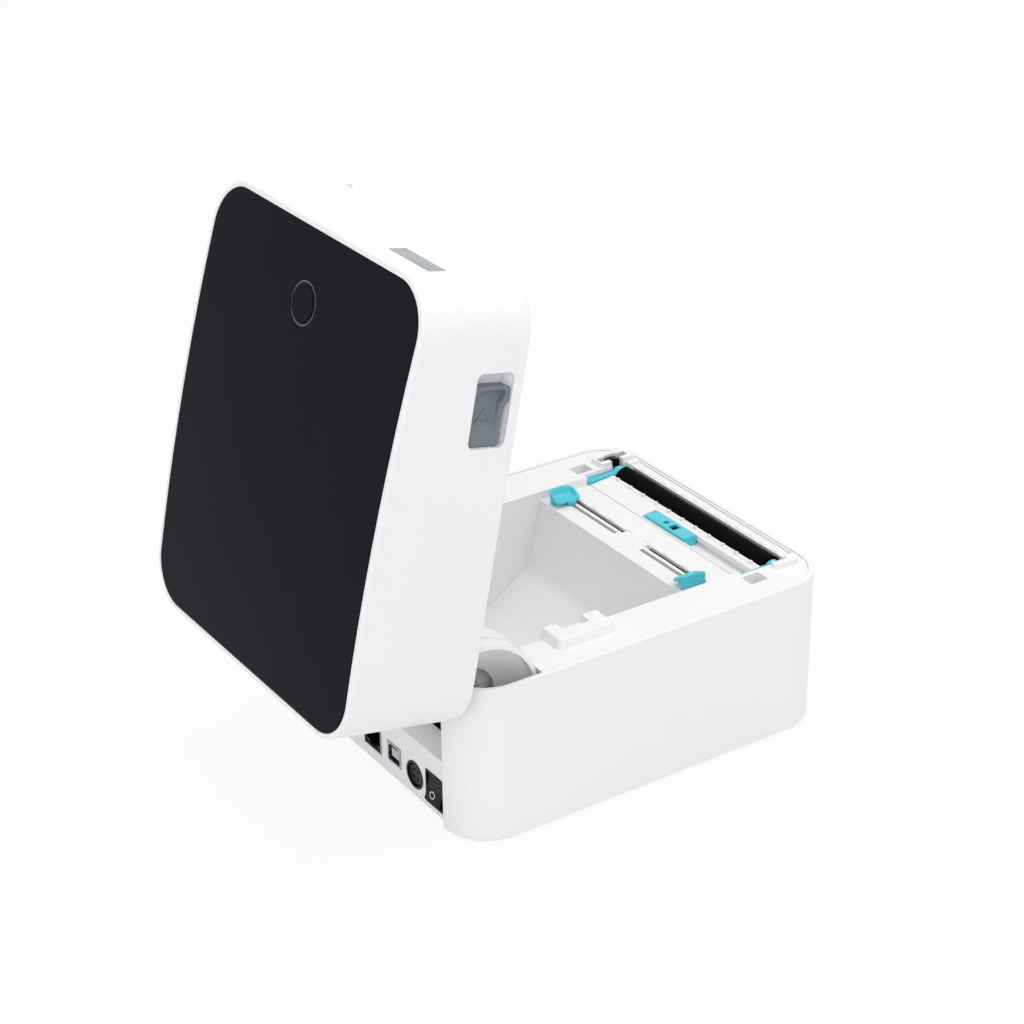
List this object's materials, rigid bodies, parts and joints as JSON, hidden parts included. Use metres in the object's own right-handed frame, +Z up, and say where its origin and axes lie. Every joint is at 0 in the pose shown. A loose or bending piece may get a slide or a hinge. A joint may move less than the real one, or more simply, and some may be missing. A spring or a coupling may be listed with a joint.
{
  "type": "label printer",
  "caption": "Desktop label printer with its rounded hinged cover open over a roll bay, platen roller, sliding label guides, side latches and rear sockets.",
  "frame": {"origin": "middle of the open machine's footprint, at the height of the feet's soles", "axes": "+Z up; -Y towards the front, where the labels leave; +X to the right seen from the front, along the hinge"},
  "size_m": [0.18, 0.2744, 0.2796],
  "materials": {
    "casing_white": "fine satin moulded texture",
    "frame_white": "satin moulded",
    "panel_black": "polished",
    "teal_plastic": "satin moulded",
    "slate_plastic": "satin moulded",
    "black_plastic": "satin moulded",
    "pale_ring": "translucent",
    "black_rubber": "ground",
    "steel": "ground",
    "plated_steel": "plated",
    "aluminium": "anodised",
    "board_green": "solder resist",
    "ceramic_white": "glazed"
  },
  "bodies": {
    "printer": {"base_shell": "casing_white", "bottom_plate": "black_plastic", "case_screws": "steel", "connector_panel": "frame_white", "ethernet_jack": "black_plastic", "ethernet_shell": "plated_steel", "guide_axle": "steel", "hinge_pin_left": "steel", "hinge_pin_right": "steel", "idler_axle": "steel", "inner_frame": "frame_white", "main_board": "board_green", "motor_bracket": "aluminium", "power_socket": "black_plastic", "roll_cradle_left": "frame_white", "roll_cradle_right": "frame_white", "rubber_foot_1": "black_rubber", "rubber_foot_2": "black_rubber", "rubber_foot_3": "black_rubber", "rubber_foot_4": "black_rubber", "stepper_motor": "black_plastic", "switch_housing": "black_plastic", "usb_port": "plated_steel", "usb_tongue": "frame_white"},
    "cover": {"cover_shell": "casing_white", "cover_panel": "panel_black", "status_ring": "pale_ring", "button_board": "board_green", "cover_liner": "frame_white", "cable_grommet_left": "black_rubber", "cable_grommet_right": "black_rubber", "tear_bar": "steel", "liner_screws": "steel"},
    "platen": {"platen_shaft": "steel", "platen_rubber": "black_rubber", "platen_gear": "black_plastic"},
    "idler": {"idler_gear": "black_plastic"},
    "motor_rotor": {"motor_pinion": "steel", "motor_shaft": "steel"},
    "lever_right": {"bearing_lever_right": "teal_plastic"},
    "lever_left": {"bearing_lever_left": "teal_plastic"},
    "right_guide": {"guide_right": "teal_plastic", "guide_rack_right": "frame_white"},
    "left_guide": {"guide_left": "teal_plastic", "guide_rack_left": "frame_white"},
    "guide_gear": {"guide_pinion": "frame_white"},
    "sensor": {"sensor_carriage": "teal_plastic", "label_sensor": "black_plastic"},
    "button": {"feed_button": "black_plastic"},
    "right_latch": {"latch_right": "slate_plastic", "latch_hook_right": "black_plastic"},
    "left_latch": {"latch_left": "slate_plastic", "latch_hook_left": "black_plastic"},
    "print_head": {"printhead_bracket": "aluminium", "printhead": "ceramic_white"},
    "power_rocker": {"switch_rocker": "black_plastic"}
  },
  "joints": [
    {"name": "cover_hinge", "type": "hinge", "parent": "printer", "child": "cover", "pos_m": [0, 0.06258, 0.0718], "axis": [1, 0, 0], "range_deg": [0, 79]},
    {"name": "platen_spin", "type": "hinge", "parent": "printer", "child": "platen", "pos_m": [0, -0.12162, 0.076], "axis": [1, 0, 0], "continuous": true},
    {"name": "idler_spin", "type": "hinge", "parent": "printer", "child": "idler", "pos_m": [0.0716, -0.11466, 0.05875], "axis": [1, 0, 0], "continuous": true},
    {"name": "motor_spin", "type": "hinge", "parent": "printer", "child": "motor_rotor", "pos_m": [0.0716, -0.1054, 0.04772], "axis": [1, 0, 0], "continuous": true},
    {"name": "bearing_lever_right_turn", "type": "hinge", "parent": "printer", "child": "lever_right", "pos_m": [0.0635, -0.12162, 0.076], "axis": [1, 0, 0], "range_deg": [0, 60]},
    {"name": "bearing_lever_left_turn", "type": "hinge", "parent": "printer", "child": "lever_left", "pos_m": [-0.0635, -0.12162, 0.076], "axis": [1, 0, 0], "range_deg": [0, 60]},
    {"name": "guide_right_slide", "type": "slide", "parent": "printer", "child": "right_guide", "axis": [1, 0, 0], "range_m": [-0.0365, 0]},
    {"name": "guide_left_slide", "type": "slide", "parent": "printer", "child": "left_guide", "axis": [1, 0, 0], "range_m": [0, 0.0365]},
    {"name": "guide_pinion_spin", "type": "hinge", "parent": "printer", "child": "guide_gear", "pos_m": [0, -0.08238, 0.0716], "axis": [0, 0, 1], "range_deg": [0, 349]},
    {"name": "sensor_slide", "type": "slide", "parent": "printer", "child": "sensor", "axis": [1, 0, 0], "range_m": [-0.042, 0]},
    {"name": "feed_button_press", "type": "slide", "parent": "cover", "child": "button", "axis": [0, -0.9555, -0.2949], "range_m": [0, 0.0008], "stiffness_N_per_m": 600, "springref_m": -0.0008},
    {"name": "latch_right_slide", "type": "slide", "parent": "cover", "child": "right_latch", "axis": [0, -0.1908, 0.9816], "range_m": [0, 0.004], "stiffness_N_per_m": 400, "springref_m": -0.002},
    {"name": "latch_left_slide", "type": "slide", "parent": "cover", "child": "left_latch", "axis": [0, -0.1908, 0.9816], "range_m": [0, 0.004], "stiffness_N_per_m": 400, "springref_m": -0.002},
    {"name": "printhead_tilt", "type": "hinge", "parent": "cover", "child": "print_head", "pos_m": [0, 0.05074, 0.23331], "axis": [1, 0, 0], "range_deg": [-4, 0], "stiffness_Nm_per_rad": 2, "springref_deg": 5.73},
    {"name": "power_rocker_tip", "type": "hinge", "parent": "printer", "child": "power_rocker", "pos_m": [-0.0536, 0.06538, 0.0137], "axis": [1, 0, 0], "range_deg": [-12, 0]}
  ],
  "couplings": [
    {"joint": "idler_spin", "follows": "platen_spin", "ratio": -0.72222},
    {"joint": "motor_spin", "follows": "platen_spin", "ratio": 2.1667},
    {"joint": "guide_left_slide", "follows": "guide_right_slide", "ratio": -1},
    {"joint": "guide_pinion_spin", "follows": "guide_right_slide", "rad_per_m": -166.67}
  ]
}
